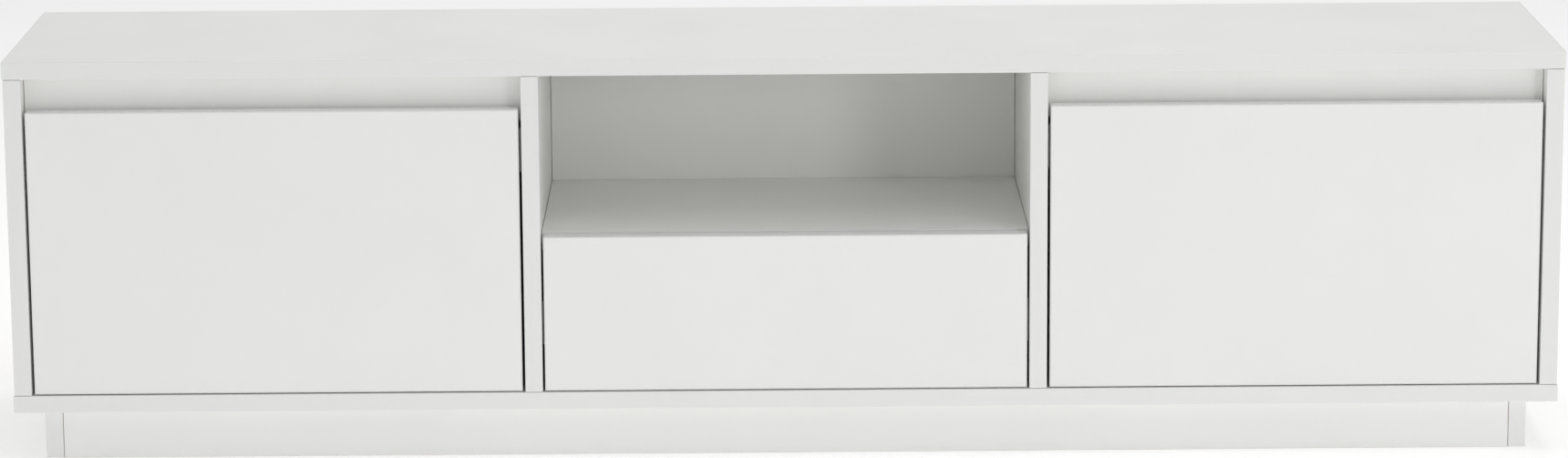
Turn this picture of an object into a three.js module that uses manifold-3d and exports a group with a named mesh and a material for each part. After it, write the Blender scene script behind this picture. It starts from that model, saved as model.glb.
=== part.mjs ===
// A long, low TV stand in white melamine-faced board.
// Millimetres, +Z up. X runs along the stand, and the front faces -Y.
// The origin is on the floor, at the middle of the stand.
import * as THREE from "three";
import { mergeVertices } from "three/addons/utils/BufferGeometryUtils.js";
import Module from "manifold-3d";

const wasm = await Module();
wasm.setup();

// ---- Driving dimensions ----

// Carcass
const OVERALL_WIDTH = 1600;
const OVERALL_DEPTH = 320;
const OVERALL_HEIGHT = 420;
const BOARD = 18; // top, bottom, sides, partitions, shelf, rails and plinth
const HARDBOARD = 3; // backs of the cupboards and the drawer's bottom
const CENTRE_BACK_BOARD = 16;
const SIDE_REVEAL = 1; // how far the top and bottom stand past the side panels
const CENTRE_BAY_WIDTH = 504; // clear width between the partitions
const NICHE_HEIGHT = 167.5; // clear height above the shelf

// Plinth
const PLINTH_HEIGHT = 52;
const PLINTH_RECESS = 16; // back from the front edge, and in from the rear edge
const PLINTH_INSET = 30; // in from each end

// Doors
const DOOR_BOARD = 18;
const FRONT_SETBACK = 1.5; // doors and drawer front behind the carcass edges
const DOOR_GAP = 3; // at each side of a door
const FRONT_BOTTOM_GAP = 1.2; // under the doors and the drawer front
const GRIP_HEIGHT = 35; // finger opening above a door
const GRIP_RECESS = 23; // rail face behind the carcass front
const RAIL_HEIGHT = 50;
const SWING_CLEARANCE = 0.5; // the turning corner's nearest pass to the side panel
const DOOR_OPEN_DEG = 95;

// Cup hinges
const HINGE_END_DISTANCE = 58; // hinge centre from the door's top and bottom ends
const CUP_RADIUS = 17.5;
const CUP_WALL = 1;
const CUP_DEPTH = 11.5;
const CUP_EDGE_DISTANCE = 5; // door's edge to the cup's pocket
const CUP_FLANGE = 1.2;
const CUP_FLANGE_LENGTH = 62;
const CUP_FLANGE_WIDTH = 26;
const HINGE_PLATE_THICKNESS = 4;
const HINGE_PLATE_LENGTH = 46;
const HINGE_PLATE_HEIGHT = 34;
const HINGE_PLATE_DISTANCE = 32; // plate's front edge behind the door's back face
const HINGE_ARM_THICKNESS = 2.5;
const HINGE_ARM_WIDTH = 12;

// Magnetic catches
const CATCH_SIZE = { x: 14, y: 24, z: 46 };
const CATCH_BELOW_RAIL = 8;
const STRIKE_THICKNESS = 1.2;
const STRIKE_SIZE = { x: 13, z: 38 };
const CATCH_GAP = 0.8; // strike to magnet with the door closed

// Drawer
const DRAWER_GAP = 2.5; // at each side of the drawer front
const DRAWER_FRONT_BOARD = 18;
const DRAWER_TOP_DROP = 1; // front's top edge below the shelf's top face
const SHELF_CLEARANCE = 3; // drawer front's back face to the shelf's front edge
const DRAWER_SIDE_BOARD = 12;
const DRAWER_BOX_LIFT = 14; // box bottom above the bottom panel
const DRAWER_BOX_HEADROOM = 22.5; // box top below the shelf
const DRAWER_GROOVE_LIFT = 10;
const DRAWER_GROOVE_DEPTH = 5;

// Drawer runners
const RUNNER_SPACE = 13; // partition to drawer side
const RUNNER_SETBACK = 2; // runner's front end behind the drawer front
const RUNNER_SHEET = 1.2;
const RUNNER_OUTER_HEIGHT = 45;
const RUNNER_STEP = 2.5; // each nested section is this much smaller all round
const RUNNER_PLAY = 2; // room for the balls between one section and the next

// Push latch behind the drawer
const LATCH_SIZE = { x: 20, y: 26, z: 20 };
const LATCH_LIFT = 26; // plunger's axis above the bottom panel
const LATCH_REACH = 5; // latch body's face to the drawer's back
const LATCH_BACK_WALL = 2;
const PLUNGER_RADIUS = 4;
const PLUNGER_GAP = 0.5; // plunger's tip to the drawer's back
const PLUNGER_TRAVEL = 4;

// Fits
const RUNNING_GAP = 0.3; // cups in pockets, plunger in its bore, panels in grooves

// ---- Places that follow from them ----

const front = -OVERALL_DEPTH / 2;
const rear = OVERALL_DEPTH / 2;
const carcassRear = rear - HARDBOARD;
const half = OVERALL_WIDTH / 2;
const sideOuter = half - SIDE_REVEAL;
const sideInner = sideOuter - BOARD;
const bayHalf = CENTRE_BAY_WIDTH / 2;
const partitionOuter = bayHalf + BOARD;
const floorTop = PLINTH_HEIGHT + BOARD;
const ceiling = OVERALL_HEIGHT - BOARD;
const shelfTop = ceiling - NICHE_HEIGHT;
const frontFace = front + FRONT_SETBACK;
const doorBack = frontFace + DOOR_BOARD;
const doorBottom = floorTop + FRONT_BOTTOM_GAP;
const doorTop = ceiling - GRIP_HEIGHT;
const doorOuter = sideInner - DOOR_GAP;
const doorInner = partitionOuter + DOOR_GAP;
const railFront = front + GRIP_RECESS;
const drawerFrontBack = frontFace + DRAWER_FRONT_BOARD;
const shelfFront = drawerFrontBack + SHELF_CLEARANCE;
const centreBackFront = carcassRear - CENTRE_BACK_BOARD;
const latchFront = centreBackFront - LATCH_SIZE.y;
const drawerBoxBack = latchFront - LATCH_REACH;
const drawerHalf = bayHalf - RUNNER_SPACE;
const drawerInner = drawerHalf - DRAWER_SIDE_BOARD;
const drawerBoxBottom = floorTop + DRAWER_BOX_LIFT;
const drawerBoxTop = shelfTop - BOARD - DRAWER_BOX_HEADROOM;
const runnerZ = (drawerBoxBottom + drawerBoxTop) / 2;
const runnerFront = drawerFrontBack + RUNNER_SETBACK;

// A door turns about an upright line this far in from its outer edge and its front
// face, which is as deep as the corner can go and still pass the side panel.
const pivotInset = (DOOR_GAP - SWING_CLEARANCE) / (Math.SQRT2 - 1);

// ---- Materials ----

function material(color, roughness, metalness = 0) {
  return new THREE.MeshStandardMaterial({ color, roughness, metalness });
}

const melamine = material(0xeeeeec, 0.42);
const hardboard = material(0xe6e5e0, 0.6);
const steel = material(0xb9bcc0, 0.3, 1);
const greyPlastic = material(0x9b9da0, 0.5);
const whitePlastic = material(0xe9e9e6, 0.45);

// ---- Shape helpers ----

const stand = new THREE.Group();

function group(parent = stand) {
  const added = new THREE.Group();
  parent.add(added);
  return added;
}

function put(parent, name, geometry, look) {
  const mesh = new THREE.Mesh(geometry, look);
  mesh.name = name;
  parent.add(mesh);
  return mesh;
}

// A box between two corners. Neighbours that share a plane get the very same number.
function box([x0, x1], [y0, y1], [z0, z1]) {
  const geometry = new THREE.BoxGeometry(1, 1, 1);
  const place = geometry.attributes.position;
  for (let i = 0; i < place.count; i += 1) {
    const x = place.getX(i) < 0 ? Math.min(x0, x1) : Math.max(x0, x1);
    const y = place.getY(i) < 0 ? y0 : y1;
    const z = place.getZ(i) < 0 ? z0 : z1;
    place.setXYZ(i, x, y, z);
  }
  return geometry;
}

function solidFrom(geometry) {
  const bare = geometry.clone();
  bare.deleteAttribute("normal");
  bare.deleteAttribute("uv");
  const merged = mergeVertices(bare, 1e-5);
  return new wasm.Manifold(
    new wasm.Mesh({
      numProp: 3,
      vertProperties: new Float32Array(merged.attributes.position.array),
      triVerts: new Uint32Array(merged.index.array),
    }),
  );
}

function geometryFrom(solid) {
  const { vertProperties, triVerts } = solid.getMesh();
  const geometry = new THREE.BufferGeometry();
  geometry.setAttribute("position", new THREE.BufferAttribute(vertProperties, 3));
  geometry.setIndex(new THREE.BufferAttribute(triVerts, 1));
  geometry.computeVertexNormals();
  return geometry;
}

function cut(geometry, ...tools) {
  const left = tools.reduce((solid, tool) => solid.subtract(solidFrom(tool)), solidFrom(geometry));
  return geometryFrom(left);
}

// A round bar along Y.
function barAlongY(radius, x, [y0, y1], z, sides = 40) {
  const geometry = new THREE.CylinderGeometry(radius, radius, y1 - y0, sides);
  geometry.translate(x, (y0 + y1) / 2, z);
  return geometry;
}

// An outline in the X-Z plane, drawn out along Y.
function prismAlongY(outline, y0, y1) {
  const shape = new THREE.Shape(outline.map(([x, z]) => new THREE.Vector2(x, z)));
  const geometry = new THREE.ExtrudeGeometry(shape, { depth: 1, bevelEnabled: false });
  const place = geometry.attributes.position;
  for (let i = 0; i < place.count; i += 1) {
    place.setXYZ(i, place.getX(i), place.getZ(i) > 0.5 ? y0 : y1, place.getY(i));
  }
  return geometry;
}

// An outline in the X-Y plane, drawn out along Z.
function prismAlongZ(outline, z0, z1) {
  const shape = new THREE.Shape(outline.map(([x, y]) => new THREE.Vector2(x, y)));
  const geometry = new THREE.ExtrudeGeometry(shape, { depth: 1, bevelEnabled: false });
  const place = geometry.attributes.position;
  for (let i = 0; i < place.count; i += 1) {
    place.setXYZ(i, place.getX(i), place.getY(i), place.getZ(i) > 0.5 ? z1 : z0);
  }
  return geometry;
}

// The outline of a bent strip of even thickness along a line of points.
function strip(points, thickness) {
  const turned = ([ax, ay], [bx, by]) => {
    const length = Math.hypot(bx - ax, by - ay);
    return [-(by - ay) / length, (bx - ax) / length];
  };
  const left = [];
  const right = [];
  points.forEach(([x, y], i) => {
    const before = i > 0 ? turned(points[i - 1], points[i]) : turned(points[0], points[1]);
    const after = i < points.length - 1 ? turned(points[i], points[i + 1]) : before;
    const spread = 1 + before[0] * after[0] + before[1] * after[1];
    const dx = ((before[0] + after[0]) / spread) * (thickness / 2);
    const dy = ((before[1] + after[1]) / spread) * (thickness / 2);
    left.push([x + dx, y + dy]);
    right.unshift([x - dx, y - dy]);
  });
  return [...left, ...right];
}

// A C-shaped runner section. Its web is at webX and its lips reach to lipX.
function channel(webX, lipX, height) {
  const innerWebX = webX + Math.sign(lipX - webX) * RUNNER_SHEET;
  const top = runnerZ + height / 2;
  const bottom = runnerZ - height / 2;
  return [
    [webX, bottom],
    [lipX, bottom],
    [lipX, bottom + RUNNER_SHEET],
    [innerWebX, bottom + RUNNER_SHEET],
    [innerWebX, top - RUNNER_SHEET],
    [lipX, top - RUNNER_SHEET],
    [lipX, top],
    [webX, top],
  ];
}

const sides = [
  { name: "left", s: -1 },
  { name: "right", s: 1 },
];

// ---- Carcass ----

function buildCarcass() {
  const carcass = group();
  const fullWidth = [-half, half];
  const fullDepth = [front, rear];
  const upright = [floorTop, ceiling];
  put(carcass, "top_panel", box(fullWidth, fullDepth, [ceiling, OVERALL_HEIGHT]), melamine);
  put(carcass, "bottom_panel", box(fullWidth, fullDepth, [PLINTH_HEIGHT, floorTop]), melamine);
  for (const { name, s } of sides) {
    const sidePanel = box([s * sideInner, s * sideOuter], [front, carcassRear], upright);
    put(carcass, `${name}_side_panel`, sidePanel, melamine);
    const partition = box([s * bayHalf, s * partitionOuter], [front, carcassRear], upright);
    put(carcass, `${name}_partition`, partition, melamine);
    const railZ = [ceiling - RAIL_HEIGHT, ceiling];
    const rail = box([s * partitionOuter, s * sideInner], [railFront, railFront + BOARD], railZ);
    put(carcass, `${name}_grip_rail`, rail, melamine);
    const backPanel = box([s * bayHalf, s * sideOuter], [carcassRear, rear], upright);
    put(carcass, `${name}_back_panel`, backPanel, hardboard);
  }
  const bay = [-bayHalf, bayHalf];
  const shelf = box(bay, [shelfFront, centreBackFront], [shelfTop - BOARD, shelfTop]);
  put(carcass, "niche_shelf", shelf, melamine);
  put(carcass, "centre_back_panel", box(bay, [centreBackFront, carcassRear], upright), melamine);
}

function buildPlinth() {
  const plinth = group();
  const height = [0, PLINTH_HEIGHT];
  const outer = half - PLINTH_INSET;
  const inner = outer - BOARD;
  const faceY = front + PLINTH_RECESS;
  const tailY = rear - PLINTH_RECESS;
  const between = [faceY + BOARD, tailY - BOARD];
  put(plinth, "plinth_front", box([-inner, inner], [faceY, faceY + BOARD], height), melamine);
  put(plinth, "plinth_back", box([-inner, inner], [tailY - BOARD, tailY], height), melamine);
  put(plinth, "plinth_brace", box([-BOARD / 2, BOARD / 2], between, height), melamine);
  for (const { name, s } of sides) {
    const end = box([s * inner, s * outer], [faceY, tailY], height);
    put(plinth, `plinth_${name}`, end, melamine);
  }
}

// ---- Doors and their hinges ----

// Hinge heights, low and high.
const hingeLevels = [
  { level: "lower", z: doorBottom + HINGE_END_DISTANCE },
  { level: "upper", z: doorTop - HINGE_END_DISTANCE },
];
const cupX = doorOuter - CUP_EDGE_DISTANCE - CUP_RADIUS;

function buildDoor(name, s) {
  const door = group();
  const pocketY = [doorBack - CUP_DEPTH - RUNNING_GAP, doorBack + 1];
  const pockets = hingeLevels.map(({ z }) => {
    return barAlongY(CUP_RADIUS + RUNNING_GAP, s * cupX, pocketY, z);
  });
  const leaf = box([s * doorInner, s * doorOuter], [frontFace, doorBack], [doorBottom, doorTop]);
  put(door, `${name}_door`, cut(leaf, ...pockets), melamine);
  for (const { level, z } of hingeLevels) {
    put(door, `${name}_${level}_hinge_cup`, hingeCup(s, z), steel);
  }
  const strikeX = doorInner + (CATCH_SIZE.x - STRIKE_SIZE.x) / 2;
  const strikeY = [doorBack, doorBack + STRIKE_THICKNESS];
  const strikeZ = [catchZ - STRIKE_SIZE.z / 2, catchZ + STRIKE_SIZE.z / 2];
  const strike = box([s * strikeX, s * (strikeX + STRIKE_SIZE.x)], strikeY, strikeZ);
  put(door, `${name}_catch_strike`, strike, steel);
}

// A round cup under a flat flange that is screwed to the door's back face.
function hingeCup(s, z) {
  const flangeY = [doorBack + RUNNING_GAP, doorBack + RUNNING_GAP + CUP_FLANGE];
  const cup = barAlongY(CUP_RADIUS, s * cupX, [doorBack - CUP_DEPTH, flangeY[1]], z);
  const reach = CUP_FLANGE_LENGTH / 2;
  const x = [s * (cupX - CUP_FLANGE_WIDTH / 2), s * (cupX + CUP_FLANGE_WIDTH / 2)];
  const flange = box(x, flangeY, [z - reach, z + reach]);
  const hollowY = [doorBack - CUP_DEPTH + CUP_WALL, flangeY[1] + 1];
  const hollow = barAlongY(CUP_RADIUS - CUP_WALL, s * cupX, hollowY, z);
  return geometryFrom(solidFrom(cup).add(solidFrom(flange)).subtract(solidFrom(hollow)));
}

// A plate on the side panel, and a cranked arm that hooks over the door's edge and
// down into the cup.
function buildHingeArm(name, s, { level, z }) {
  const hinge = group();
  const plateY = [doorBack + HINGE_PLATE_DISTANCE, doorBack + HINGE_PLATE_DISTANCE + HINGE_PLATE_LENGTH];
  const plateX = [s * (sideInner - HINGE_PLATE_THICKNESS), s * sideInner];
  const plateZ = [z - HINGE_PLATE_HEIGHT / 2, z + HINGE_PLATE_HEIGHT / 2];
  put(hinge, `${name}_${level}_hinge_plate`, box(plateX, plateY, plateZ), steel);

  const seatX = sideInner - HINGE_PLATE_THICKNESS - HINGE_ARM_THICKNESS / 2;
  const neckX = cupX + CUP_RADIUS / 2;
  const neckY = doorBack + CUP_FLANGE + HINGE_ARM_THICKNESS * 1.5;
  const path = [
    [seatX, plateY[1]],
    [seatX, plateY[0] - HINGE_ARM_THICKNESS],
    [neckX, neckY + HINGE_ARM_THICKNESS],
    [cupX + HINGE_ARM_THICKNESS, neckY],
    [cupX - HINGE_ARM_THICKNESS, doorBack - CUP_DEPTH / 2],
  ];
  const outline = strip(path, HINGE_ARM_THICKNESS).map(([x, y]) => [s * x, y]);
  const armZ = [z - HINGE_ARM_WIDTH / 2, z + HINGE_ARM_WIDTH / 2];
  put(hinge, `${name}_${level}_hinge_arm`, prismAlongZ(outline, ...armZ), steel);
}

// ---- Magnetic catches on the partitions ----

const catchZ = ceiling - RAIL_HEIGHT - CATCH_BELOW_RAIL - CATCH_SIZE.z / 2;

function buildCatch(name, s) {
  const y = doorBack + STRIKE_THICKNESS + CATCH_GAP;
  const x = [s * partitionOuter, s * (partitionOuter + DOOR_GAP + CATCH_SIZE.x)];
  const z = [catchZ - CATCH_SIZE.z / 2, catchZ + CATCH_SIZE.z / 2];
  put(group(), `${name}_magnetic_catch`, box(x, [y, y + CATCH_SIZE.y], z), whitePlastic);
}

// ---- Drawer ----

function buildDrawer() {
  const drawer = group();
  const frontX = bayHalf - DRAWER_GAP;
  const frontZ = [floorTop + FRONT_BOTTOM_GAP, shelfTop - DRAWER_TOP_DROP];
  put(drawer, "drawer_front", box([-frontX, frontX], [frontFace, drawerFrontBack], frontZ), melamine);

  const grooveBottom = drawerBoxBottom + DRAWER_GROOVE_LIFT;
  const grooveTop = grooveBottom + HARDBOARD + 2 * RUNNING_GAP;
  const grooveX = drawerInner + DRAWER_GROOVE_DEPTH;
  for (const { name, s } of sides) {
    const outline = [
      [drawerInner, drawerBoxBottom],
      [drawerHalf, drawerBoxBottom],
      [drawerHalf, drawerBoxTop],
      [drawerInner, drawerBoxTop],
      [drawerInner, grooveTop],
      [grooveX, grooveTop],
      [grooveX, grooveBottom],
      [drawerInner, grooveBottom],
    ].map(([x, z]) => [s * x, z]);
    const side = prismAlongY(outline, drawerFrontBack, drawerBoxBack);
    put(drawer, `drawer_${name}_side`, side, melamine);
  }
  const backY = [drawerBoxBack - DRAWER_SIDE_BOARD, drawerBoxBack];
  const back = box([-drawerInner, drawerInner], backY, [grooveTop, drawerBoxTop]);
  put(drawer, "drawer_back", back, melamine);
  const sheetX = grooveX - RUNNING_GAP;
  const sheetZ = [grooveBottom, grooveBottom + HARDBOARD];
  const sheet = box([-sheetX, sheetX], [drawerFrontBack, drawerBoxBack], sheetZ);
  put(drawer, "drawer_bottom", sheet, hardboard);
}

function buildRunner(name, s) {
  const runner = group();
  const middleX = bayHalf - RUNNER_SHEET - RUNNER_PLAY;
  const lipEnd = drawerHalf + RUNNER_SHEET + RUNNER_PLAY;
  const innerLipEnd = middleX - RUNNER_SHEET - RUNNER_PLAY;
  const middleHeight = RUNNER_OUTER_HEIGHT - 2 * RUNNER_STEP;
  const innerHeight = middleHeight - 2 * RUNNER_STEP;
  const sections = {
    cabinet: channel(s * bayHalf, s * lipEnd, RUNNER_OUTER_HEIGHT),
    middle: channel(s * middleX, s * lipEnd, middleHeight),
    drawer: channel(s * drawerHalf, s * innerLipEnd, innerHeight),
  };
  for (const [section, outline] of Object.entries(sections)) {
    const bar = prismAlongY(outline, runnerFront, drawerBoxBack);
    put(runner, `${name}_runner_${section}_section`, bar, steel);
  }
}

// ---- Push latch ----

function buildPushLatch() {
  const latch = group();
  const z = floorTop + LATCH_LIFT;
  const bodyX = [-LATCH_SIZE.x / 2, LATCH_SIZE.x / 2];
  const bodyZ = [z - LATCH_SIZE.z / 2, z + LATCH_SIZE.z / 2];
  const body = box(bodyX, [latchFront, centreBackFront], bodyZ);
  const boreEnd = centreBackFront - LATCH_BACK_WALL;
  const boreY = [latchFront - 1, boreEnd];
  const plungerY = [drawerBoxBack + PLUNGER_GAP, boreEnd - PLUNGER_TRAVEL - 1];
  const bore = barAlongY(PLUNGER_RADIUS + RUNNING_GAP, 0, boreY, z);
  put(latch, "push_latch_body", cut(body, bore), greyPlastic);
  put(latch, "push_latch_plunger", barAlongY(PLUNGER_RADIUS, 0, plungerY, z), whitePlastic);
}

buildCarcass();
buildPlinth();
for (const { name, s } of sides) {
  buildDoor(name, s);
  buildCatch(name, s);
  for (const hinge of hingeLevels) {
    buildHingeArm(name, s, hinge);
  }
}
buildDrawer();
for (const { name, s } of sides) {
  buildRunner(name, s);
}
buildPushLatch();

// Where the doors turn, for whoever swings them: x is mirrored for the left door.
stand.userData.doorPivot = {
  x: doorOuter - pivotInset,
  y: frontFace + pivotInset,
  openDegrees: DOOR_OPEN_DEG,
};

export default stand;
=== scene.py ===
# %% [markdown]
# # A white TV stand with doors
# This lesson dresses a finished set of solids as a real piece of flat-pack furniture.
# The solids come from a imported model, in metres, standing on the floor at the origin with
# the front facing -Y. Every board here is made again with rounded edges, edge banding and
# raw chipboard where no band was ironed on, and every fitting gets its screws and plating.

import math

import bmesh
import bpy
from mathutils import Euler, Matrix, Vector


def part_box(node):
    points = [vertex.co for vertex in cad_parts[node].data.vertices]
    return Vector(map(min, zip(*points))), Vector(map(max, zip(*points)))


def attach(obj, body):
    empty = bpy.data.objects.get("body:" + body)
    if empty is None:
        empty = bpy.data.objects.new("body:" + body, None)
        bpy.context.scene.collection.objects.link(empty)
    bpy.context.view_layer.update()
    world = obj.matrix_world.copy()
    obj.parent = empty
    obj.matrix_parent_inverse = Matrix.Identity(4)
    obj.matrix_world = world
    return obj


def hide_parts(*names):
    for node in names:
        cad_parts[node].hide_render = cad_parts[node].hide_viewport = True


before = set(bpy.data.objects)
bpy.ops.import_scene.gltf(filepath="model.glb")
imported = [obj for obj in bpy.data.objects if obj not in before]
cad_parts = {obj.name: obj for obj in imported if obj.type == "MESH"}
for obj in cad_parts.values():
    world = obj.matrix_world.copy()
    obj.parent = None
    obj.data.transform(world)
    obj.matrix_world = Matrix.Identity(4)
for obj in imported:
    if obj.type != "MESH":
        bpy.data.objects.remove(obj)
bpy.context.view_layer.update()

# %% [markdown]
# ## The room
# A product like this is shown on a seamless white floor under large soft lamps. The floor
# could be a backdrop with a curved corner, but the camera looks down far enough to see
# nothing except floor, so one flat sheet is enough.

# %% Floor and background light
FLOOR_SIZE = 60.0
FLOOR_GLOW = 0.28  # keeps the sheet white where the lamps fade
SKY_STRENGTH = 0.49


def plain_principled(name, colour, roughness, metallic=0.0):
    """A new material and its Principled shader, with even values."""
    material = bpy.data.materials.new(name)
    material.use_nodes = True
    shader = material.node_tree.nodes["Principled BSDF"]
    shader.inputs["Base Color"].default_value = (*colour, 1.0)
    shader.inputs["Roughness"].default_value = roughness
    shader.inputs["Metallic"].default_value = metallic
    return material, shader


def make_floor():
    bm = bmesh.new()
    bmesh.ops.create_grid(bm, x_segments=1, y_segments=1, size=FLOOR_SIZE / 2)
    mesh = bpy.data.meshes.new("floor")
    bm.to_mesh(mesh)
    bm.free()
    floor = bpy.data.objects.new("floor", mesh)
    bpy.context.scene.collection.objects.link(floor)
    paint, shader = plain_principled("floor_paint", (0.93, 0.93, 0.93), 0.9)
    shader.inputs["Specular IOR Level"].default_value = 0.0
    shader.inputs["Emission Color"].default_value = (1.0, 1.0, 1.0, 1.0)
    shader.inputs["Emission Strength"].default_value = FLOOR_GLOW
    mesh.materials.append(paint)


def make_sky(strength):
    world = bpy.data.worlds.new("studio")
    bpy.context.scene.world = world
    world.use_nodes = True
    background = world.node_tree.nodes["Background"]
    background.inputs["Color"].default_value = (1.0, 1.0, 1.0, 1.0)
    background.inputs["Strength"].default_value = strength


make_floor()
make_sky(SKY_STRENGTH)
print("floor", FLOOR_SIZE, "m across")

# %% [markdown]
# ## Lamps
# Area lamps give the soft-edged shading of a studio. The key stands to the right of the
# camera and well above it, so the niche's left wall is bright and its right corner falls
# dark. A lower lamp in front reaches the back of the niche under the top panel. A broad
# lamp overhead keeps the top panel the lightest face.

# %% Key, front and overhead lamps
STAND_CENTRE = Vector((0.0, 0.0, 0.22))
# For each lamp: its place and its width in metres, and its watts.
LAMPS = {
    "key_lamp": ((1.4, -2.0, 3.6), 1.6, 10.0),
    "front_lamp": ((2.8, -4.6, 1.2), 1.0, 24.0),
    "overhead_lamp": ((0.2, 0.3, 3.4), 3.0, 40.0),
}


def area_lamp(name, place, size, watts):
    """A round lamp that looks at the middle of the stand."""
    data = bpy.data.lights.new(name, "AREA")
    data.shape = "DISK"
    data.size = size
    data.energy = watts
    lamp = bpy.data.objects.new(name, data)
    lamp.location = place
    lamp.rotation_euler = (STAND_CENTRE - Vector(place)).to_track_quat("-Z", "Y").to_euler()
    bpy.context.scene.collection.objects.link(lamp)


for name, (place, size, watts) in LAMPS.items():
    area_lamp(name, place, size, watts)

# %% [markdown]
# ## Camera
# The stand is seen almost square from the front, from standing height and a few metres
# back, through a long lens. The place and the three small angles say so directly: a
# little to the left of the middle, tipped down, and very slightly rolled.

# %% Camera
SENSOR_WIDTH = 36.0  # millimetres
LENS = 114.4
CAMERA_PLACE = (-0.0253, -5.179, 1.2875)
PITCH_DOWN = 0.2056  # radians
HEADING_RIGHT = 0.0048
ROLL = 0.0065

camera_data = bpy.data.cameras.new("camera")
camera_data.sensor_width = SENSOR_WIDTH
camera_data.lens = LENS
camera = bpy.data.objects.new("camera", camera_data)
bpy.context.scene.collection.objects.link(camera)
aim = Euler((math.pi / 2 - PITCH_DOWN, 0.0, -HEADING_RIGHT)).to_matrix().to_4x4()
camera.matrix_world = Matrix.Translation(CAMERA_PLACE) @ aim @ Matrix.Rotation(-ROLL, 4, "Z")
bpy.context.scene.camera = camera
bpy.context.scene.view_settings.view_transform = "Standard"
print("camera", [round(v, 3) for v in camera.location])

# %% [markdown]
# ## Finishes: how they are built
# Every finish is a Principled shader fed by noise on Object coordinates. Objects sit at
# the origin here, so Object coordinates are metres in the room and a noise scale of 1000
# makes a grain of about a millimetre. A picture texture would also work, but noise has
# no seams and no resolution.

# %% Node helpers
def material_nodes(name, colour, roughness, metallic=0.0):
    """A finish with its node tree, its shader and its Object coordinates."""
    material, shader = plain_principled(name, colour, roughness, metallic)
    tree = material.node_tree
    place = tree.nodes.new("ShaderNodeTexCoord").outputs["Object"]
    return material, tree, shader, place


def noise(tree, place, scale, detail=2.0, roughness=0.5, stretch=None):
    """A noise value between 0 and 1, stretched along the axes if asked."""
    if stretch:
        mapping = tree.nodes.new("ShaderNodeMapping")
        mapping.inputs["Scale"].default_value = stretch
        tree.links.new(place, mapping.inputs["Vector"])
        place = mapping.outputs["Vector"]
    node = tree.nodes.new("ShaderNodeTexNoise")
    node.inputs["Scale"].default_value = scale
    node.inputs["Detail"].default_value = detail
    node.inputs["Roughness"].default_value = roughness
    tree.links.new(place, node.inputs["Vector"])
    return node.outputs["Fac"]


def remap(tree, value, low, high, to_low, to_high):
    """The value's range from low to high, spread over to_low to to_high."""
    node = tree.nodes.new("ShaderNodeMapRange")
    settings = zip(("From Min", "From Max", "To Min", "To Max"), (low, high, to_low, to_high))
    for socket, number in settings:
        node.inputs[socket].default_value = number
    tree.links.new(value, node.inputs["Value"])
    return node.outputs["Result"]


def blend(tree, factor, first, second):
    """One colour running to another as the factor goes from 0 to 1."""
    node = tree.nodes.new("ShaderNodeMix")
    node.data_type = "RGBA"
    tree.links.new(factor, node.inputs["Factor"])
    slots = [s for s in node.inputs if s.type == "RGBA"]
    for socket, colour in zip(slots, (first, second)):
        if isinstance(colour, tuple):
            socket.default_value = (*colour, 1.0)
        else:
            tree.links.new(colour, socket)
    return [s for s in node.outputs if s.type == "RGBA"][0]


def raise_bump(tree, shader, height, distance, under=None):
    """A bump of this depth in metres, on top of another one."""
    node = tree.nodes.new("ShaderNodeBump")
    node.inputs["Distance"].default_value = distance
    tree.links.new(height, node.inputs["Height"])
    if under is not None:
        tree.links.new(under, node.inputs["Normal"])
    tree.links.new(node.outputs["Normal"], shader.inputs["Normal"])
    return node.outputs["Normal"]


print("node helpers ready")

# %% [markdown]
# ## Melamine facing
# The white skin of the boards is printed paper pressed onto chipboard with a fine pearl
# texture. It is not pure white, and it is not quite even: the pressing plate leaves a
# faint orange peel, the gloss varies where hands have wiped it, and long boards show a
# very slight waviness. Three noises of different sizes give those three things.

# %% Melamine
WHITE = (0.922, 0.924, 0.905)
WHITE_SHADE = (0.9, 0.902, 0.883)
SCUFF_GREY = (0.52, 0.51, 0.48)
SCUFF_HEIGHT = 0.02
SCUFF_STRENGTH = 0.12


def make_melamine(name, scuffed_to=0.0):
    """Pearl-textured white. Below scuffed_to metres it gets the grey marks of a mop."""
    material, tree, shader, place = material_nodes(name, WHITE, 0.4)
    cloud = noise(tree, place, 5.0, detail=4.0, roughness=0.6)
    colour = blend(tree, remap(tree, cloud, 0.35, 0.7, 0.0, 1.0), WHITE, WHITE_SHADE)
    if scuffed_to:
        height = tree.nodes.new("ShaderNodeSeparateXYZ")
        tree.links.new(place, height.inputs["Vector"])
        low = remap(tree, height.outputs["Z"], 0.0, scuffed_to, 1.0, 0.0)
        marks = noise(tree, place, 42.0, detail=6.0, roughness=0.7, stretch=(0.35, 1.0, 1.0))
        worn = tree.nodes.new("ShaderNodeMath")
        worn.operation = "MULTIPLY"
        tree.links.new(low, worn.inputs[0])
        streaks = remap(tree, marks, 0.48, 0.75, 0.0, SCUFF_STRENGTH)
        tree.links.new(streaks, worn.inputs[1])
        colour = blend(tree, worn.outputs["Value"], colour, SCUFF_GREY)
    tree.links.new(colour, shader.inputs["Base Color"])
    wiped = noise(tree, place, 9.0, detail=5.0, roughness=0.65)
    tree.links.new(remap(tree, wiped, 0.3, 0.7, 0.34, 0.47), shader.inputs["Roughness"])
    wavy = raise_bump(tree, shader, noise(tree, place, 14.0, detail=1.0), 0.0004)
    pearl = noise(tree, place, 1300.0, detail=2.0, roughness=0.6)
    raise_bump(tree, shader, pearl, 0.00005, under=wavy)
    return material


melamine = make_melamine("white_melamine_facing")
plinth_melamine = make_melamine("plinth_melamine_facing", scuffed_to=SCUFF_HEIGHT)
print("melamine:", melamine.name, plinth_melamine.name)

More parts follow.
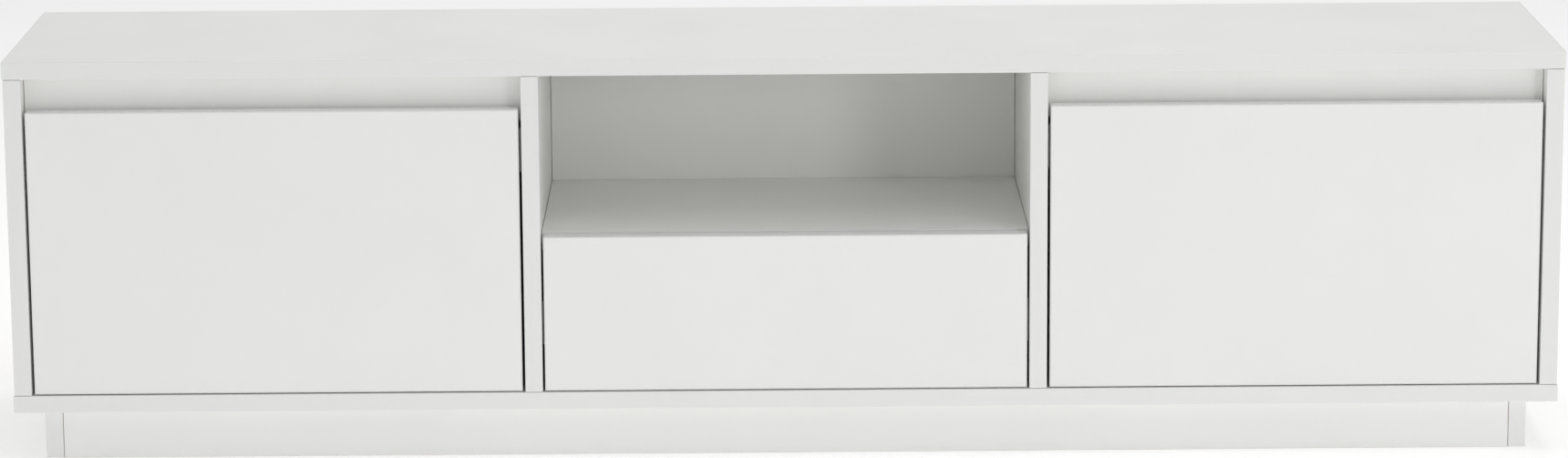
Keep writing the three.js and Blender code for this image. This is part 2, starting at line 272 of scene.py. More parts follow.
# %% [markdown]
# ## Edge band, glue line and raw chipboard
# Every edge that shows has a strip of plastic band ironed on. It is a touch glossier
# than the face, with a finer grain. Between band and face there is a hairline of glue
# that catches dust. Edges that nobody sees are left as raw chipboard, so the boards' back
# edges show pressed flakes.

# %% Edges
def make_edge_band():
    material, tree, shader, place = material_nodes("edge_band", (0.872, 0.877, 0.862), 0.3)
    strokes = noise(tree, place, 900.0, detail=3.0, roughness=0.55)
    tree.links.new(remap(tree, strokes, 0.3, 0.7, 0.26, 0.36), shader.inputs["Roughness"])
    colour = blend(tree, noise(tree, place, 11.0), (0.878, 0.883, 0.868), (0.862, 0.867, 0.852))
    tree.links.new(colour, shader.inputs["Base Color"])
    raise_bump(tree, shader, strokes, 0.00002)
    return material


def make_glue_line():
    material, tree, shader, place = material_nodes("glue_line", (0.6, 0.59, 0.56), 0.6)
    dust = noise(tree, place, 90.0, detail=4.0)
    dusty = remap(tree, dust, 0.35, 0.65, 0.0, 1.0)
    colour = blend(tree, dusty, (0.66, 0.655, 0.63), (0.5, 0.49, 0.46))
    tree.links.new(colour, shader.inputs["Base Color"])
    return material


def make_chipboard():
    material, tree, shader, place = material_nodes("raw_chipboard", (0.5, 0.36, 0.22), 0.85)
    cells = tree.nodes.new("ShaderNodeTexVoronoi")
    cells.inputs["Scale"].default_value = 620.0
    tree.links.new(place, cells.inputs["Vector"])
    grey = tree.nodes.new("ShaderNodeSeparateColor")
    tree.links.new(cells.outputs["Color"], grey.inputs["Color"])
    flakes = blend(tree, grey.outputs["Red"], (0.56, 0.42, 0.27), (0.33, 0.22, 0.125))
    fibre = noise(tree, place, 1500.0, detail=3.0, stretch=(0.4, 0.4, 1.0))
    tree.links.new(blend(tree, fibre, flakes, (0.6, 0.47, 0.32)), shader.inputs["Base Color"])
    raise_bump(tree, shader, cells.outputs["Distance"], 0.0002)
    return material


edge_band = make_edge_band()
glue_line = make_glue_line()
chipboard = make_chipboard()
print("edges:", edge_band.name, glue_line.name, chipboard.name)

# %% [markdown]
# ## Hardboard, metal and plastic
# The thin backs and the drawer's bottom are pressed fibre with a white lacquer on the
# face that looks into the furniture. The fittings are nickel-plated steel, zinc-plated
# screws and moulded plastic. Plating reflects, so most of its look comes from small
# changes in roughness and a few drawing lines along the strip it was pressed from.

# %% Hardboard
def make_hardboard_white():
    material, tree, shader, place = material_nodes("hardboard_white", (0.78, 0.78, 0.76), 0.5)
    print_spots = noise(tree, place, 240.0, detail=4.0, roughness=0.7)
    tint = remap(tree, print_spots, 0.4, 0.75, 0.0, 1.0)
    colour = blend(tree, tint, (0.79, 0.79, 0.77), (0.75, 0.75, 0.73))
    tree.links.new(colour, shader.inputs["Base Color"])
    raise_bump(tree, shader, print_spots, 0.00008)
    return material


def make_hardboard_brown():
    material, tree, shader, place = material_nodes("hardboard_brown", (0.36, 0.24, 0.14), 0.8)
    fibres = noise(tree, place, 520.0, detail=5.0, roughness=0.75)
    patches = noise(tree, place, 12.0, detail=3.0)
    base = blend(tree, patches, (0.42, 0.29, 0.18), (0.34, 0.225, 0.13))
    mottled = blend(tree, remap(tree, fibres, 0.4, 0.72, 0.0, 0.85), base, (0.22, 0.135, 0.075))
    tree.links.new(mottled, shader.inputs["Base Color"])
    tree.links.new(remap(tree, fibres, 0.3, 0.7, 0.7, 0.9), shader.inputs["Roughness"])
    raise_bump(tree, shader, fibres, 0.00015)
    return material


hardboard_white = make_hardboard_white()
hardboard_brown = make_hardboard_brown()
print("hardboard:", hardboard_white.name, hardboard_brown.name)

# %% Metals and plastics
def make_plating(name, colour, rough_low, rough_high, drawn=(1.0, 0.06, 1.0)):
    material, tree, shader, place = material_nodes(name, colour, rough_low, metallic=1.0)
    lines = noise(tree, place, 1800.0, detail=3.0, stretch=drawn)
    tree.links.new(remap(tree, lines, 0.3, 0.7, rough_low, rough_high), shader.inputs["Roughness"])
    spots = noise(tree, place, 60.0, detail=4.0)
    duller = tuple(0.86 * channel for channel in colour)
    tree.links.new(blend(tree, spots, colour, duller), shader.inputs["Base Color"])
    raise_bump(tree, shader, lines, 0.00002)
    return material


def make_plastic(name, colour, roughness):
    material, tree, shader, place = material_nodes(name, colour, roughness)
    grain = noise(tree, place, 1500.0, detail=2.0)
    duller = tuple(0.93 * channel for channel in colour)
    tint = blend(tree, noise(tree, place, 70.0), colour, duller)
    tree.links.new(tint, shader.inputs["Base Color"])
    gloss = remap(tree, grain, 0.3, 0.7, roughness - 0.06, roughness + 0.08)
    tree.links.new(gloss, shader.inputs["Roughness"])
    raise_bump(tree, shader, grain, 0.00004)
    return material


nickel = make_plating("nickel_plating", (0.74, 0.73, 0.71), 0.2, 0.34)
zinc = make_plating("zinc_plating", (0.62, 0.64, 0.67), 0.28, 0.45)
white_plastic = make_plastic("white_plastic", (0.8, 0.8, 0.78), 0.42)
grey_plastic = make_plastic("grey_plastic", (0.35, 0.36, 0.37), 0.5)
screw_zinc = make_plating("bright_zinc_screw", (0.55, 0.56, 0.58), 0.25, 0.4, drawn=(1.0, 1.0, 1.0))
print("fittings:", nickel.name, zinc.name, white_plastic.name, grey_plastic.name)

# %% [markdown]
# ## Boards
# A board is a cut sheet with slightly rounded arrises. It starts as a cube stretched to
# the solid it stands for. Two cuts just inside each banded edge mark off the glue line
# and the band, and a small bevel rounds every arris. The bevel comes last, so the cuts
# run straight into it. A bevel modifier would do too, but then the band could not be
# told from the face by where it lies.

# %% Board maker
ARRIS = 0.0007
BAND_THICKNESS = 0.0009
GLUE_WIDTH = 0.00018
SEAM = 0.00035  # boards that butt together never quite close
AXES = {"x": 0, "y": 1, "z": 2}
FACING, BAND, GLUE, RAW = range(4)  # a board's material slots


def require_closed(name, bm):
    """Stops the script where a mesh is empty or has a gap, which no render would show."""
    gaps = sum(not edge.is_manifold for edge in bm.edges)
    if not bm.faces or gaps:
        raise ValueError(f"{name}: {len(bm.faces)} faces, {gaps} open edges")


def add_piece(name, bm, body, materials, replaced=None):
    """Turns a bmesh into a piece that rides on a body."""
    require_closed(name, bm)
    bmesh.ops.recalc_face_normals(bm, faces=bm.faces[:])
    mesh = bpy.data.meshes.new(name)
    bm.to_mesh(mesh)
    bm.free()
    for material in materials:
        mesh.materials.append(material)
    piece = bpy.data.objects.new(name, mesh)
    bpy.context.scene.collection.objects.link(piece)
    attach(piece, body)
    if replaced:
        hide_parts(replaced)
    return piece


def block_between(low, high):
    """A bmesh box between two corners."""
    bm = bmesh.new()
    low, high = Vector(low), Vector(high)
    bmesh.ops.create_cube(bm, size=1.0)
    bmesh.ops.scale(bm, vec=high - low, verts=bm.verts)
    bmesh.ops.translate(bm, vec=(low + high) / 2, verts=bm.verts)
    return bm


def round_arrises(bm, width, segments=2, sharper_than=math.radians(30)):
    edges = [
        edge for edge in bm.edges
        if len(edge.link_faces) == 2 and edge.calc_face_angle(0.0) > sharper_than
    ]
    bmesh.ops.bevel(
        bm, geom=edges, offset=width, offset_type="OFFSET", affect="EDGES",
        segments=segments, profile=0.5, material=-1, clamp_overlap=True,
    )


def axis_and_sign(side):
    """A side such as "-y" as the number of its axis and the way it points."""
    return AXES[side[1]], -1.0 if side[0] == "-" else 1.0


def mark_band(bm, low, high, side):
    """Cuts the glue line and the band at one side of a board."""
    axis, sign = axis_and_sign(side)
    edge = low[axis] if sign < 0 else high[axis]
    normal = Vector((0.0, 0.0, 0.0))
    normal[axis] = sign
    for inset in (BAND_THICKNESS + GLUE_WIDTH, BAND_THICKNESS):
        at = Vector((0.0, 0.0, 0.0))
        at[axis] = edge - sign * inset
        everything = bm.verts[:] + bm.edges[:] + bm.faces[:]
        bmesh.ops.bisect_plane(bm, geom=everything, plane_co=at, plane_no=normal)


def board_zone(face, low, high, banded, raw):
    """The material slot of one face of a board."""
    middle = face.calc_center_median()
    face.normal_update()
    for side in banded:
        axis, sign = axis_and_sign(side)
        depth = middle[axis] - low[axis] if sign < 0 else high[axis] - middle[axis]
        if depth < BAND_THICKNESS:
            return BAND
        if depth < BAND_THICKNESS + GLUE_WIDTH:
            return GLUE
    for side in raw:
        axis, sign = axis_and_sign(side)
        if sign * face.normal[axis] > 0.5:
            return RAW
    return FACING


def drawn_in(low, high, sides, distance):
    """The corners of a box with the named sides drawn in a little."""
    low, high = low.copy(), high.copy()
    for side in sides:
        axis, sign = axis_and_sign(side)
        if sign < 0:
            low[axis] += distance
        else:
            high[axis] -= distance
    return low, high


def make_board(node, body, banded=(), raw=(), butted=(), facing=melamine):
    low, high = (Vector(corner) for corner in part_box(node))
    low, high = drawn_in(low, high, butted, SEAM)
    bm = block_between(low, high)
    for side in banded:
        mark_band(bm, low, high, side)
    round_arrises(bm, ARRIS)
    for face in bm.faces:
        face.material_index = board_zone(face, low, high, banded, raw)
    looks = (facing, edge_band, glue_line, chipboard)
    return add_piece(f"{node}_board", bm, body, looks, replaced=node)


print("board maker ready: arris", ARRIS, "band", BAND_THICKNESS)

# %% [markdown]
# ## The carcass
# The top and the bottom run the full width and are banded at the front and both ends.
# Sides, partitions and shelf stand between them, so only their front edges are banded.
# Their back edges are raw, behind the thin back panels. Ends that butt on a neighbour
# are drawn in by a hair, which leaves the thin dark line of a knock-down joint.

# %% Carcass boards
SIDE_ENDS = ("-x", "+x")
UPRIGHT_ENDS = ("-z", "+z")
# For each board: its banded edges, its raw edges, and the edges that butt on a neighbour.
CARCASS_BOARDS = {
    "top_panel": (("-y", "-x", "+x"), ("+y",), ()),
    "bottom_panel": (("-y", "-x", "+x"), ("+y",), ()),
    "niche_shelf": (("-y",), ("+y",) + SIDE_ENDS, ("+y",) + SIDE_ENDS),
    "centre_back_panel": ((), UPRIGHT_ENDS + SIDE_ENDS, UPRIGHT_ENDS + SIDE_ENDS),
}
for side in ("left", "right"):
    for upright in ("side_panel", "partition"):
        CARCASS_BOARDS[f"{side}_{upright}"] = (("-y",), ("+y",) + UPRIGHT_ENDS, UPRIGHT_ENDS)
    CARCASS_BOARDS[f"{side}_grip_rail"] = (("-z",), ("+z",) + SIDE_ENDS, ("+z",) + SIDE_ENDS)
for node, (banded, raw, butted) in CARCASS_BOARDS.items():
    piece = make_board(node, "carcass", banded, raw, butted)
    print(piece.name, len(piece.data.polygons), "faces")

# %% [markdown]
# ## Plinth
# The plinth is a frame of low boards set back under the bottom panel. The end boards run
# through and show their banded front edges, and the front board fits between them. The
# last two centimetres above the floor carry very faint scuffs.

# %% Plinth boards
PLINTH_BOARDS = {
    "plinth_front": ((), SIDE_ENDS + UPRIGHT_ENDS, SIDE_ENDS),
    "plinth_back": ((), SIDE_ENDS + UPRIGHT_ENDS, SIDE_ENDS),
    "plinth_brace": ((), ("-x", "+x", "-y", "+y", "-z"), ()),
    "plinth_left": (("-y", "+y"), UPRIGHT_ENDS, ()),
    "plinth_right": (("-y", "+y"), UPRIGHT_ENDS, ()),
}
for node, (banded, raw, butted) in PLINTH_BOARDS.items():
    make_board(node, "carcass", banded, raw, butted, facing=plinth_melamine)
print("plinth boards:", len(PLINTH_BOARDS))

# %% [markdown]
# ## Thin backs and the drawer's bottom
# Hardboard is lacquered on one face only. The faces that look into the cupboards and the
# drawer are white, and the faces behind and below are the brown of pressed fibre.

# %% Hardboard sheets
SHEET_ARRIS = 0.0003


def make_sheet(node, body, brown_side):
    low, high = (Vector(corner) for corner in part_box(node))
    bm = block_between(low, high)
    round_arrises(bm, SHEET_ARRIS, segments=1)
    axis, brown_way = axis_and_sign(brown_side)
    for face in bm.faces:
        face.normal_update()
        face.material_index = 0 if face.normal[axis] * -brown_way > 0.9 else 1
    looks = (hardboard_white, hardboard_brown)
    return add_piece(f"{node}_sheet", bm, body, looks, replaced=node)


make_sheet("left_back_panel", "carcass", "+y")
make_sheet("right_back_panel", "carcass", "+y")
make_sheet("drawer_bottom", "drawer", "-z")
print("sheets made")

# %% [markdown]
# ## Doors with bored cup pockets
# A door is banded all round, and its back is bored for two hinge cups. The board comes
# from the same maker. The round pockets are cut by a Boolean modifier that is applied at
# once, which keeps the flat faces clean around the holes. Boring tools leave a slightly
# rough floor, so the pocket is raw chipboard.

# %% Doors
LEVELS = ("lower", "upper")
SIDES = {"left": -1.0, "right": 1.0}
CUP_RADIUS = 0.0175
POCKET_PLAY = 0.0003
CUTTER_PROUD = 0.001  # how far a cutter stands out of the face it bores
BANDED_ROUND = ("-x", "+x", "-z", "+z")


def cup_centre(side, level):
    """Middle of a cup's mouth, in the plane of its flange's outer face."""
    low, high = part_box(f"{side}_{level}_hinge_cup")
    return Vector(((low[0] + high[0]) / 2, high[1], (low[2] + high[2]) / 2))


def cylinder_along_y(bm, centre, radius, depth, segments=48):
    """A closed round bar that reaches from the centre this far towards -Y."""
    turn = Matrix.Rotation(math.pi / 2, 4, "X")
    place = Matrix.Translation(Vector(centre) - Vector((0.0, depth / 2, 0.0))) @ turn
    bmesh.ops.create_cone(
        bm, cap_ends=True, cap_tris=False, segments=segments,
        radius1=radius, radius2=radius, depth=depth, matrix=place,
    )


def bore(piece, cutter_bm, wall):
    """Cuts the cutter out of a piece and gives the new faces the wall's material."""
    mesh = bpy.data.meshes.new("cutter")
    for face in cutter_bm.faces:
        face.material_index = len(piece.data.materials)
    piece.data.materials.append(wall)
    for material in piece.data.materials:
        mesh.materials.append(material)
    cutter_bm.to_mesh(mesh)
    cutter_bm.free()
    cutter = bpy.data.objects.new("cutter", mesh)
    bpy.context.scene.collection.objects.link(cutter)
    modifier = piece.modifiers.new("bore", "BOOLEAN")
    modifier.operation = "DIFFERENCE"
    modifier.solver = "EXACT"
    modifier.object = cutter
    graph = bpy.context.evaluated_depsgraph_get()
    cut_mesh = bpy.data.meshes.new_from_object(piece.evaluated_get(graph))
    piece.modifiers.remove(modifier)
    piece.data = cut_mesh
    bpy.data.objects.remove(cutter)
    result = bmesh.new()
    result.from_mesh(cut_mesh)
    require_closed(f"{piece.name} after boring", result)
    result.free()


for side in SIDES:
    door = make_board(f"{side}_door", f"{side}_door", banded=BANDED_ROUND)
    cutters = bmesh.new()
    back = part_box(f"{side}_door")[1][1]
    pocket_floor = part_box(f"{side}_lower_hinge_cup")[0][1] - POCKET_PLAY
    for level in LEVELS:
        mouth = cup_centre(side, level)
        mouth.y = back + CUTTER_PROUD
        cylinder_along_y(cutters, mouth, CUP_RADIUS + POCKET_PLAY, mouth.y - pocket_floor)
    bore(door, cutters, chipboard)
    print(door.name, len(door.data.polygons), "faces after boring")

# %% [markdown]
# ## Drawer box
# The drawer front is banded all round. The sides carry a groove that holds the hardboard
# bottom, so they keep the outline of their solids. A copy of a solid is made of loose
# triangles: merging its doubles and dissolving flat edges turns it back into clean faces
# that a bevel can round.

# %% Softened copies of solids
SAME_PLACE = 0.00001
FLAT_WITHIN = math.radians(1.0)
DRAWER_SIDE_ARRIS = 0.0005


def clean_copy(node):
    """A merged copy of a CAD node with its flat faces whole again."""
    bm = bmesh.new()
    bm.from_mesh(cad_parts[node].data)
    bmesh.ops.remove_doubles(bm, verts=bm.verts, dist=SAME_PLACE)
    bmesh.ops.dissolve_limit(
        bm, angle_limit=FLAT_WITHIN, verts=bm.verts[:], edges=bm.edges[:],
        use_dissolve_boundaries=False, delimit=set(),
    )
    return bm


def make_softened(node, body, material, width, segments=2, sharper_than=math.radians(35)):
    bm = clean_copy(node)
    round_arrises(bm, width, segments, sharper_than)
    return add_piece(f"{node}_piece", bm, body, (material,), replaced=node)


make_board("drawer_front", "drawer", banded=BANDED_ROUND)
make_board("drawer_back", "drawer", banded=("+z",), raw=("-z", "-x", "+x"))
for side in SIDES:
    node = f"drawer_{side}_side"
    piece = make_softened(node, "drawer", melamine, DRAWER_SIDE_ARRIS)
    print(piece.name, len(piece.data.polygons), "faces")

# %% [markdown]
# ## Screws and other round heads
# Every fitting is held by screws, and each kind of head is a short turned outline, spun
# around its axis. A cross recess is then cut into it. The cutter is one closed cross,
# drawn and extruded: two bars laid across each other would run through one another, and
# the exact Boolean then gives back an empty mesh instead of a screw.

# %% Head maker
HEAD_STEPS = 24


def spun(outline, steps=HEAD_STEPS):
    """Spins an outline of (radius, height) points that starts and ends on the axis."""
    bm = bmesh.new()
    verts = [bm.verts.new((radius, 0.0, height)) for radius, height in outline]
    edges = [bm.edges.new(pair) for pair in zip(verts, verts[1:])]
    bmesh.ops.spin(
        bm, geom=verts + edges, cent=(0, 0, 0), axis=(0, 0, 1), dvec=(0, 0, 0),
        angle=2 * math.pi, steps=steps, use_merge=True, use_duplicate=False,
    )
    bmesh.ops.remove_doubles(bm, verts=bm.verts, dist=0.000002)
    bmesh.ops.recalc_face_normals(bm, faces=bm.faces[:])
    return bm


def cross_cutter(reach, half_width, bottom, top):
    """A closed upright cross, for cutting a recess."""
    bm = bmesh.new()
    corners = []
    for quarter in range(4):
        turn = Matrix.Rotation(quarter * math.pi / 2, 3, "Z")
        for x, y in ((reach, -half_width), (reach, half_width), (half_width, half_width)):
            corners.append(turn @ Vector((x, y, 0.0)) + Vector((0.0, 0.0, bottom)))
    face = bm.faces.new([bm.verts.new(corner) for corner in corners])
    grown = bmesh.ops.extrude_face_region(bm, geom=[face])["geom"]
    lifted = [item for item in grown if isinstance(item, bmesh.types.BMVert)]
    bmesh.ops.translate(bm, vec=(0.0, 0.0, top - bottom), verts=lifted)
    bmesh.ops.recalc_face_normals(bm, faces=bm.faces[:])
    return bm


def head_mesh(name, outline, cutter=None, steps=HEAD_STEPS):
    """A head that stands on z = 0, with a cutter's shape taken out of it."""
    bm = spun(outline, steps)
    require_closed(name, bm)
    mesh = bpy.data.meshes.new(name)
    bm.to_mesh(mesh)
    bm.free()
    if cutter is None:
        return mesh
    head = bpy.data.objects.new(name, mesh)
    bpy.context.scene.collection.objects.link(head)
    bore(head, cutter, screw_zinc)
    finished = head.data
    bpy.data.objects.remove(head)
    return finished


def domed(radius, rim, height):
    """The outline of a low dome on an upright rim."""
    angles = [math.radians(a) for a in (0, 25, 50, 75)]
    curve = [(radius * math.cos(a), rim + (height - rim) * math.sin(a)) for a in angles]
    return [(0.0, 0.0), (radius, 0.0)] + curve + [(0.0, height)]


# %% The kinds of head
FLUSH_RADIUS = 0.0033
# For each domed head: its radius, the height of its rim and its full height, and then the
# reach, half width and depth of its cross.
DOMED_HEADS = {
    "system": (0.0036, 0.0006, 0.0022, 0.002, 0.0006, 0.0013),
    "flush": (FLUSH_RADIUS, 0.0009, 0.0012, 0.0018, 0.0005, 0.0007),
}
CAM_RADIUS, CAM_PROUD, CAM_SUNK = 0.0075, 0.0005, 0.001
CAM_RIM_WIDTH = 0.0009
CAM_CHAMFER = 0.0003
CAM_CROSS_DEPTH = 0.0007
CAM_STEPS = 32
NAIL_RADIUS, NAIL_HEIGHT = 0.0014, 0.0004

cam_top = CAM_SUNK + CAM_PROUD
cam_rim = CAM_RADIUS - CAM_RIM_WIDTH
cam_face = CAM_SUNK + CAM_PROUD * 0.3
cam_outline = [
    (0.0, 0.0), (CAM_RADIUS, 0.0), (CAM_RADIUS, CAM_SUNK + CAM_PROUD * 0.6),
    (CAM_RADIUS - CAM_CHAMFER, cam_top), (cam_rim, cam_top),
    (cam_rim - CAM_CHAMFER, cam_face), (0.0, cam_face),
]
cam_cross = cross_cutter(
    CAM_RADIUS * 0.6, CAM_RADIUS * 0.12, cam_face - CAM_CROSS_DEPTH, cam_face + CUTTER_PROUD
)
nail_outline = [
    (0.0, 0.0), (NAIL_RADIUS, 0.0), (NAIL_RADIUS * 0.9, NAIL_HEIGHT * 0.7), (0.0, NAIL_HEIGHT),
]


def domed_head(kind):
    radius, rim, height, reach, half_width, depth = DOMED_HEADS[kind]
    cross = cross_cutter(reach, half_width, height - depth, height + depth)
    return head_mesh(f"{kind}_head", domed(radius, rim, height), cross)


HEADS = {kind: domed_head(kind) for kind in DOMED_HEADS}
HEADS["cam"] = head_mesh("cam_head", cam_outline, cam_cross, CAM_STEPS)
HEADS["nail"] = head_mesh("nail_head", nail_outline)
for kind, mesh in HEADS.items():
    print(kind, "head:", len(mesh.polygons), "faces")

# %% Setting heads in place
HOLE_PLAY = 0.00015
HEAD_SINK = 0.0003  # heads that stand on a plate go this far into it


def pointing(place, direction):
    """A matrix that takes local +Z to a direction at a place."""
    turn = Vector(direction).to_track_quat("Z", "Y").to_matrix().to_4x4()
    return Matrix.Translation(Vector(place)) @ turn


def set_heads(name, body, kind, spots, direction):
    """One piece that holds a set of equal heads, each standing on its spot."""
    bm = bmesh.new()
    for spot in spots:
        before = len(bm.verts)
        bm.from_mesh(HEADS[kind])
        bm.verts.ensure_lookup_table()
        bmesh.ops.transform(bm, matrix=pointing(spot, direction), verts=bm.verts[before:])
    add_piece(name, bm, body, (screw_zinc,))


def let_in_screws(piece, name, body, spots, thickness):
    """Bores holes through a plate that faces +Y and sets a flush head in each of them."""
    cutters = bmesh.new()
    for spot in spots:
        mouth = spot + Vector((0.0, thickness, 0.0))
        cylinder_along_y(cutters, mouth, FLUSH_RADIUS + HOLE_PLAY, 3 * thickness, HEAD_STEPS)
    bore(piece, cutters, screw_zinc)
    seats = [spot - Vector((0.0, thickness, 0.0)) for spot in spots]
    set_heads(name, body, "flush", seats, (0, 1, 0))


print("heads ready")

# %% [markdown]
# ## Cup hinges
# A concealed hinge has a pressed cup let into the door, with a wing above and below it
# and a screw in each wing. A cranked arm joins it to a mounting plate on the side panel.
# Cup, arm and plate keep their solids' shape, because they have to fit: they get rounded
# arrises and plating, holes for the wing screws, and the heads that stand on the plate
# and the arm.

# %% Hinges
WING_SCREW_SPACING = 0.048
WING_THICKNESS = 0.0012
WING_CORNER = 0.006
WING_END = 0.0001  # an edge this near a wing's end belongs to it
CUP_ARRIS = 0.00035
ARM_ARRIS = 0.0005
PLATE_ARRIS = 0.0008
PLATE_SCREW_SPACING = 0.024
ARM_THICKNESS = 0.0025
ARM_SCREW_SETBACK = 0.012


def make_cup(side, level):
    """The cup with its wings' four outer corners rounded, then all its arrises softened."""
    node = f"{side}_{level}_hinge_cup"
    bm = clean_copy(node)
    low, high = (Vector(corner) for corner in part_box(node))
    corners = []
    for edge in bm.edges:
        ends = [vert.co for vert in edge.verts]
        along_y = abs(ends[0].x - ends[1].x) + abs(ends[0].z - ends[1].z) < SAME_PLACE
        at_end = all(min(co.z - low.z, high.z - co.z) < WING_END for co in ends)
        if along_y and at_end:
            corners.append(edge)
    bmesh.ops.bevel(
        bm, geom=corners, offset=WING_CORNER, offset_type="OFFSET", affect="EDGES",
        segments=6, profile=0.5, material=-1, clamp_overlap=True,
    )
    round_arrises(bm, CUP_ARRIS)
    print(node, "wing corners rounded:", len(corners))
    return add_piece(f"{node}_piece", bm, f"{side}_door", (nickel,), replaced=node)


def dress_hinge(side, sign, level):
    name = f"{side}_{level}_hinge"
    cup = make_cup(side, level)
    make_softened(f"{name}_arm", "carcass", nickel, ARM_ARRIS)
    make_softened(f"{name}_plate", "carcass", nickel, PLATE_ARRIS)
    mouth = cup_centre(side, level)
    wings = [mouth + Vector((0.0, 0.0, s * WING_SCREW_SPACING / 2)) for s in (-1, 1)]
    let_in_screws(cup, f"{name}_cup_screws", f"{side}_door", wings, WING_THICKNESS)

    low, high = (Vector(corner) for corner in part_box(f"{name}_plate"))
    middle = (low + high) / 2
    plate_face = low.x if sign > 0 else high.x
    arm_face = plate_face - sign * ARM_THICKNESS
    on_plate = [
        Vector((plate_face + sign * HEAD_SINK, middle.y, middle.z + s * PLATE_SCREW_SPACING / 2))
        for s in (-1, 1)
    ]
    on_arm = [
        Vector((arm_face + sign * HEAD_SINK, y, middle.z))
        for y in (low.y + ARM_SCREW_SETBACK, high.y - ARM_SCREW_SETBACK)
    ]
    set_heads(f"{name}_plate_screws", "carcass", "system", on_plate, (-sign, 0, 0))
    set_heads(f"{name}_arm_screws", "carcass", "system", on_arm, (-sign, 0, 0))


for side, sign in SIDES.items():
    for level in LEVELS:
        dress_hinge(side, sign, level)
print("hinges dressed:", len(SIDES) * len(LEVELS))

# %% [markdown]
# ## Magnetic catches
# A catch is a small moulded box with a magnet between two steel plates that stand a
# little proud of its face. The door carries a flat strike, held by one flush screw so
# that nothing stands between it and the magnet.

# %% Catches
POLE_THICKNESS = 0.0016
POLE_SPACING = 0.007
POLE_PROUD = 0.0004
POLE_DEPTH = 0.004
POLE_INSET = 0.008
POLE_ARRIS = 0.0002
STRIKE_THICKNESS = 0.0012
STRIKE_ARRIS = 0.0003
CATCH_ARRIS = 0.001


def make_poles(side):
    low, high = (Vector(corner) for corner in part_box(f"{side}_magnetic_catch"))
    middle = (low.x + high.x) / 2
    poles = bmesh.new()
    for s in (-1, 1):
        centre = middle + s * POLE_SPACING / 2
        pole = block_between(
            (centre - POLE_THICKNESS / 2, low.y - POLE_PROUD, low.z + POLE_INSET),
            (centre + POLE_THICKNESS / 2, low.y + POLE_DEPTH, high.z - POLE_INSET),
        )
        round_arrises(pole, POLE_ARRIS, 1)
        scratch = bpy.data.meshes.new("pole")
        pole.to_mesh(scratch)
        pole.free()
        poles.from_mesh(scratch)
        bpy.data.meshes.remove(scratch)
    add_piece(f"{side}_catch_poles", poles, "carcass", (zinc,))


for side in SIDES:
    node = f"{side}_magnetic_catch"
    make_softened(node, "carcass", white_plastic, CATCH_ARRIS, 3)
    make_poles(side)
    node = f"{side}_catch_strike"
    strike = make_softened(node, f"{side}_door", zinc, STRIKE_ARRIS)
    low, high = (Vector(corner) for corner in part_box(f"{side}_catch_strike"))
    centre = Vector(((low.x + high.x) / 2, high.y, (low.z + high.z) / 2))
    let_in_screws(strike, f"{side}_strike_screw", f"{side}_door", [centre], STRIKE_THICKNESS)
print("catches dressed")

# %% [markdown]
# ## Drawer runners
# The three nested sections of a runner are rolled steel. Balls roll in the narrow space
# between the outer section's lips and the middle one's, and show as a row of bright beads
# when the drawer is out. The balls take their size from that space.

# %% Runners
RUNNER_SHEET = 0.0012
BALL_PITCH = 0.0075
BALL_ENDS = 0.03  # no balls this near the ends of the section
BALL_FIT = 0.94  # a ball's share of the space it rolls in
SCREW_SHARES = (0.12, 0.45, 0.88)  # along the drawer's section, from the front
RUNNER_ARRIS = 0.0003
RUNNER_BODIES = {"cabinet": "carcass", "middle": "{side}_runner_middle", "drawer": "drawer"}


def make_balls(side):
    low, high = (Vector(corner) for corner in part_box(f"{side}_runner_middle_section"))
    outer_low = Vector(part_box(f"{side}_runner_cabinet_section")[0])
    space = low.z - outer_low.z - RUNNER_SHEET
    radius = space / 2 * BALL_FIT
    count = int((high.y - low.y - 2 * BALL_ENDS) / BALL_PITCH)
    beads = bmesh.new()
    for z in (low.z - space / 2, high.z + space / 2):
        for step in range(count):
            spot = Vector(((low.x + high.x) / 2, low.y + BALL_ENDS + step * BALL_PITCH, z))
            place = Matrix.Translation(spot)
            bmesh.ops.create_icosphere(beads, subdivisions=2, radius=radius, matrix=place)
    add_piece(f"{side}_runner_balls", beads, f"{side}_runner_middle", (nickel,))
    print(side, "runner balls:", 2 * count, "of radius", round(radius * 1000, 2), "mm")


def runner_screws(side, sign):
    """Three heads in the drawer section's channel, into the drawer's side."""
    low, high = (Vector(corner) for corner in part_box(f"{side}_runner_drawer_section"))
    web = (low.x if sign > 0 else high.x) + sign * (RUNNER_SHEET - HEAD_SINK)
    length, level = high.y - low.y, (low.z + high.z) / 2
    spots = [Vector((web, low.y + share * length, level)) for share in SCREW_SHARES]
    set_heads(f"{side}_runner_screws", "drawer", "system", spots, (sign, 0, 0))


for side, sign in SIDES.items():
    for section, body in RUNNER_BODIES.items():
        node = f"{side}_runner_{section}_section"
        make_softened(node, body.format(side=side), zinc, RUNNER_ARRIS)
    make_balls(side)
    runner_screws(side, sign)

# %% [markdown]
# ## Push latch
# The latch behind the drawer is a moulded body with a round plunger that pushes the
# drawer out when the front is pressed. Both keep their solids and get soft moulded edges.

# %% Push latch
LATCH_ARRIS = 0.0008
PLUNGER_ARRIS = 0.0006
plunger = "push_latch_plunger"

make_softened("push_latch_body", "carcass", grey_plastic, LATCH_ARRIS, 3)
make_softened(plunger, plunger, white_plastic, PLUNGER_ARRIS, 3)
print("latch dressed")

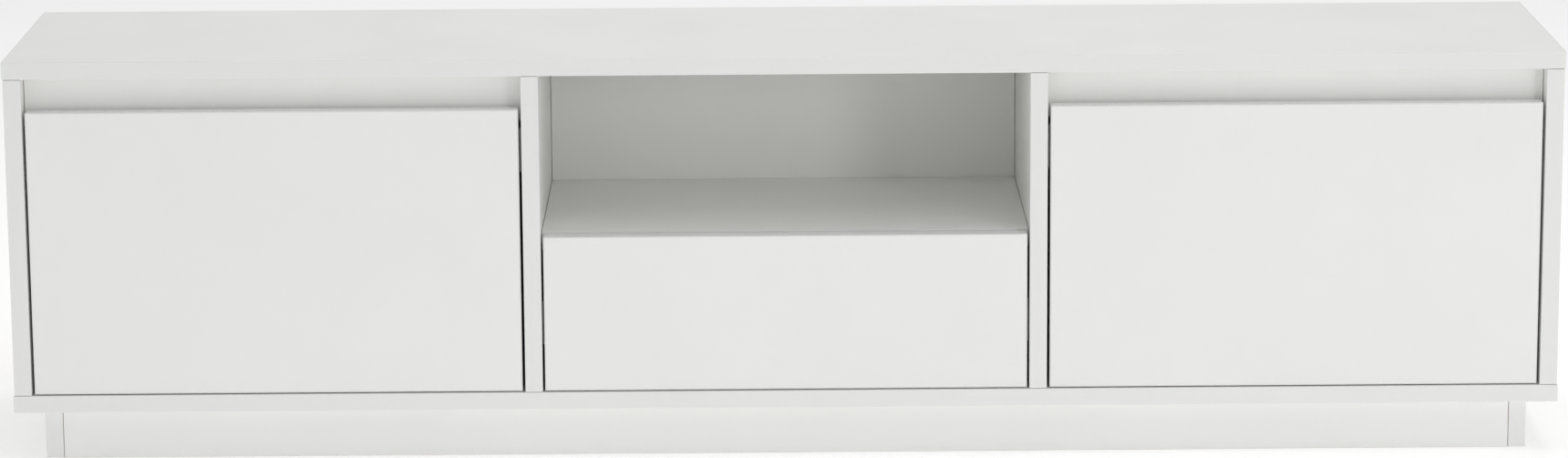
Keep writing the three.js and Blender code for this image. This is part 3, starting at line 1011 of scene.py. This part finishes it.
# %% [markdown]
# ## Cam fittings
# Flat-pack boards are pulled together by cam discs: round die-cast barrels let into the
# inner face of one board, each turning on a dowel from the next. Only the disc's face
# shows. They sit inside the cupboards, near the top and the bottom of each upright, and
# under the niche shelf.

# %% Cam discs
CAM_SETBACK = 0.028  # from the board's end
CAM_FRONT = 0.055  # from the front and the rear edges


def cam_spots(node, face_sign):
    """Four places on the face of an upright that looks into a cupboard."""
    low, high = (Vector(corner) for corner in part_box(node))
    x = (high.x if face_sign > 0 else low.x) - face_sign * CAM_SUNK
    depths = (low.y + CAM_FRONT, high.y - CAM_FRONT)
    heights = (low.z + CAM_SETBACK, high.z - CAM_SETBACK)
    return [Vector((x, y, z)) for y in depths for z in heights]


disc_count = 0
for side, sign in SIDES.items():
    for node, face_sign in ((f"{side}_side_panel", -sign), (f"{side}_partition", sign)):
        spots = cam_spots(node, face_sign)
        set_heads(f"{node}_cams", "carcass", "cam", spots, (face_sign, 0, 0))
        disc_count += len(spots)
low, high = (Vector(corner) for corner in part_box("niche_shelf"))
shelf_spots = [
    Vector((x, y, low.z + CAM_SUNK))
    for x in (low.x + CAM_SETBACK, high.x - CAM_SETBACK)
    for y in (low.y + CAM_FRONT, high.y - CAM_FRONT)
]
set_heads("niche_shelf_cams", "carcass", "cam", shelf_spots, (0, 0, -1))
print("cam discs:", disc_count + len(shelf_spots))

# %% [markdown]
# ## The back
# The thin backs are nailed to the edges of the boards every twelve centimetres. From
# behind, these rows of small heads tell furniture from a plain box.

# %% Nails along the backs
NAIL_PITCH = 0.12
NAIL_INSET = 0.008


def evenly(start, end, pitch):
    steps = max(1, round((end - start) / pitch))
    return [start + (end - start) * i / steps for i in range(steps + 1)]


for side in SIDES:
    low, high = (Vector(corner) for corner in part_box(f"{side}_back_panel"))
    left, right = low.x + NAIL_INSET, high.x - NAIL_INSET
    heights = evenly(low.z + NAIL_INSET, high.z - NAIL_INSET, NAIL_PITCH)
    spots = [Vector((x, high.y, z)) for x in (left, right) for z in heights]
    set_heads(f"{side}_back_nails", "carcass", "nail", spots, (0, 1, 0))
    print(side, "back nails:", len(spots))
